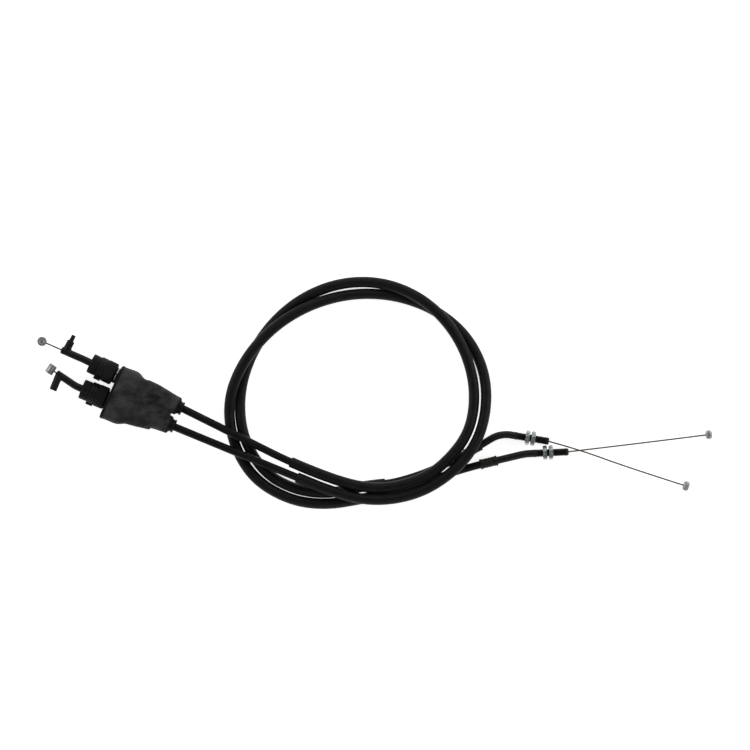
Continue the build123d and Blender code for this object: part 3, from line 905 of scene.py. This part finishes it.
def build_carb_end(name, cable):
    ferrule, corner, mouth = carb_frames(cable)
    cup = dress(ferrule_piece(f"{name}_ferrule_shown", ferrule), "black_metal", "cables", "black_metal",
                f"{name}_ferrule")
    guide = threaded_guide(f"{name}_carb_guide_shown", ferrule, corner, mouth, cable)
    dress(guide, "black_metal", "cables", "black_metal", f"{name}_carb_guide")
    dress(end_seal(f"{name}_end_seal_shown", mouth), "seal_rubber", "cables", "boot_rubber",
          f"{name}_end_seal")
    for side, setback in zip(("inner", "outer"), cable["locknuts"]):
        dress(hex_nut(f"{name}_{side}_locknut_shown", mouth, setback), "plated_steel", f"{name}_{side}_nut",
              "plated_steel", f"{name}_{side}_locknut")
    # the bare wire runs from the mouth to the nipple; it does not move with the nipple
    guide_curve = nurbs_curve("wire_line", cable["wire_route"], 0, 24)
    line = centre_line(guide_curve)
    bpy.data.objects.remove(guide_curve)
    end = Vector(line[-1])
    onward = (end - Vector(line[-2])).normalized()
    wire = stranded_wire(f"{name}_carb_wire_shown",
                         np.vstack([line, end + onward * WIRE_PAST_NIPPLE_CENTRE]))
    dress(wire, "steel_wire", None, "steel_wire", f"{name}_carb_wire")
    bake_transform(wire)
    across = onward.cross(Vector((0, 0, 1)))
    radius = cable["carb_r"] * MM
    outline = pillow_outline(radius, cable["carb_barrel"] / 2 * MM)
    nipple = nipple_with_hole(f"{name}_carb_nipple_shown", frame_at(end, across), radius, outline,
                              frame_at(end, onward))
    recessed(nipple, end, radius)
    dress(nipple, "zinc", f"{name}_carb_end", "zinc", f"{name}_carb_nipple")
    return cup, guide


# ---- housings -----------------------------------------------------------------------------------
def build_housing(name, cable):
    housing = nurbs_curve(f"{name}_housing_shown", cable["route"], HOUSING_R, 20)
    dress(housing, "jacket", "cables", "jacket",
          *[f"{name}_{layer}" for layer in ("housing", "conduit", "liner", "inner_wire")])
    start, before_end = (v * MM for v in cable["sleeve"])
    sleeve = sleeve_over(f"{name}_sleeve_shown", centre_line(housing), start, before_end)
    dress(sleeve, "sleeve", "cables", "sleeve", f"{name}_sleeve")


# ---- boot ---------------------------------------------------------------------------------------
BOOT_FRONT = Vector((-0.1984, 0.0161, 0.0122))
BOOT_SPARE = 0.4
BOOT_WALL = 2.3
LOBE_END = 51.0
BOOT_TRAVEL = 20.0
# distance from the front, side nearest the pull cable, other side, height, squareness, in millimetres
BOOT_SECTIONS = [
    (0.0, 20.6, -20.7, 23.6, 4.0), (0.5, 21.0, -21.0, 24.3, 4.0), (1.6, 21.1, -21.0, 24.4, 4.0),
    (2.6, 20.7, -20.7, 23.9, 4.0), (6.0, 21.0, -20.5, 23.9, 3.9), (11.0, 21.5, -20.4, 23.9, 3.8),
    (13.5, 21.2, -20.1, 23.7, 3.6), (15.4, 20.5, -19.5, 23.2, 3.4), (17.5, 19.2, -18.3, 22.4, 3.2),
    (19.6, 18.7, -17.2, 21.7, 3.0), (27.0, 18.4, -16.0, 19.4, 2.8), (33.0, 18.0, -14.8, 17.4, 2.6),
    (38.0, 17.6, -13.8, 15.6, 2.5),
]
# the thin web that fills the notch between the two lobes
BOOT_WEB = [(34.0, 10.0, -6.0, 9.0, 2.4), (43.0, 8.0, -4.0, 7.0, 2.2), (47.5, 6.0, -2.0, 5.0, 2.0)]


def boot_frame(places):
    """The boot's frame: Z halfway between the two cables, from the middle of its front edge."""
    middle = (axis_of(places[0]) + axis_of(places[1])).normalized()
    return frame_at(BOOT_FRONT, middle)


def on_axis(plane, place, along):
    """Where a cable's straight axis passes this far along the boot."""
    target = plane.translation + axis_of(plane) * along
    reach = (target - place.translation).dot(axis_of(plane)) / axis_of(place).dot(axis_of(plane))
    return place.translation + axis_of(place) * reach


def boot_rings(plane, inset, sections):
    """Rings of the boot's wide body, drawn in by an inset."""
    turn = np.linspace(0, 2 * pi, 96, endpoint=False)
    rings = []
    for along, near, far, height, power in sections:
        half_w, half_h = (near - far) / 2 + BOOT_SPARE - inset, height / 2 - inset
        c, s = np.cos(turn), np.sin(turn)
        reach = (np.abs(c) ** power + np.abs(s) ** power) ** (-1 / power)
        points = [reach * c * half_w + (near + far) / 2, reach * s * half_h, along + 0 * turn]
        rings.append(np.stack(points, axis=1) * MM)
    return moved(plane, np.array(rings))


def lobe_rings(plane, place, inset, profile):
    """Rings of one lobe, each centred on its cable's axis."""
    shape = []
    for along, radius in profile:
        centre = on_axis(plane, place, along * MM)
        ring_place = frame_at(centre, axis_of(plane))
        shape.append(turned_rings(ring_place, [(0, (radius - inset) * MM)], 64)[0])
    return np.array(shape)


def boot_piece(places):
    """A hollow soft moulding: one wide body that narrows into a sleeve for each cable."""
    plane = boot_frame(places)
    lobes = [(22.0, 8.0), (30.0, 8.3), (36.0, 7.9), (42.0, 7.3), (47.0, 6.9), (49.6, 6.9), (50.6, 6.5),
             (LOBE_END, 5.9)]
    outer = [boot_rings(plane, 0, BOOT_SECTIONS), boot_rings(plane, 0, BOOT_WEB)]
    outer += [lobe_rings(plane, p, 0, lobes) for p in places]
    boot = fused(skin("boot_shown", *outer), 0.5 * MM, 8)
    hollow = [boot_rings(plane, BOOT_WALL, BOOT_SECTIONS[4:-1])]
    hollow += [lobe_rings(plane, p, BOOT_WALL, [(29.0, 8.3), (52.5, 6.3)]) for p in places]
    hollow += [turned_rings(p, in_mm((19.0, 6.25), (32.0, 6.25)), 64) for p in places]
    cutter = fused(skin("hollow", *hollow), 0.55 * MM, 2)
    carved(boot, cutter)
    smoothed(boot.data, 60)
    shade_lip(boot, plane)
    return boot, plane


def shade_lip(boot, plane):
    """Marks the beaded front edge and the lobes' ends, which the boot's material draws near black."""
    points = np.array([v.co for v in boot.data.vertices])
    along = (points - np.array(plane.translation)) @ np.array(axis_of(plane)) / MM
    front = np.clip((2.6 - along) / 0.8, 0, 1)
    back = np.clip((along - 48.6) / 1.4, 0, 1)
    attribute = boot.data.attributes.new("lip", "FLOAT", "POINT")
    attribute.data.foreach_set("value", np.maximum(front, back).astype(np.float32))


def boot_ring(name, plane, place):
    """A ribbed end ring, its hole centred on the cable at half of the boot's travel."""
    half_travel = BOOT_TRAVEL / 2
    centre = on_axis(plane, place, (LOBE_END + half_travel) * MM) - axis_of(plane) * half_travel * MM
    profile = in_mm((0, 3.6), (0, 4.7), (0.2, 5.1), (1.0, 5.1), (1.15, 4.5), (1.6, 4.5), (1.75, 5.1),
                    (2.9, 5.1), (3.2, 4.8), (3.2, 3.6))
    return skin(name, turned_rings(frame_at(centre, axis_of(plane)), profile, 56), looped=True)


def build_boot():
    places = [grip_frame(cable) for cable in CABLES.values()]
    boot, plane = boot_piece(places)
    dress(boot, "boot_rubber", "boot", "boot_rubber", "boot")
    for name, place in zip(CABLES, places):
        ring = boot_ring(f"boot_ring_{name}_shown", plane, place)
        dress(ring, "black_plastic", "boot", "black_plastic", f"boot_ring_{name}")


for name, cable in CABLES.items():
    fittings = build_carb_end(name, cable)
    build_housing(name, cable)
    build_grip_end(name, cable)
    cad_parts[f"{name}_housing_cap"].material_slots[0].material = MATERIALS["plated_steel"]
build_boot()
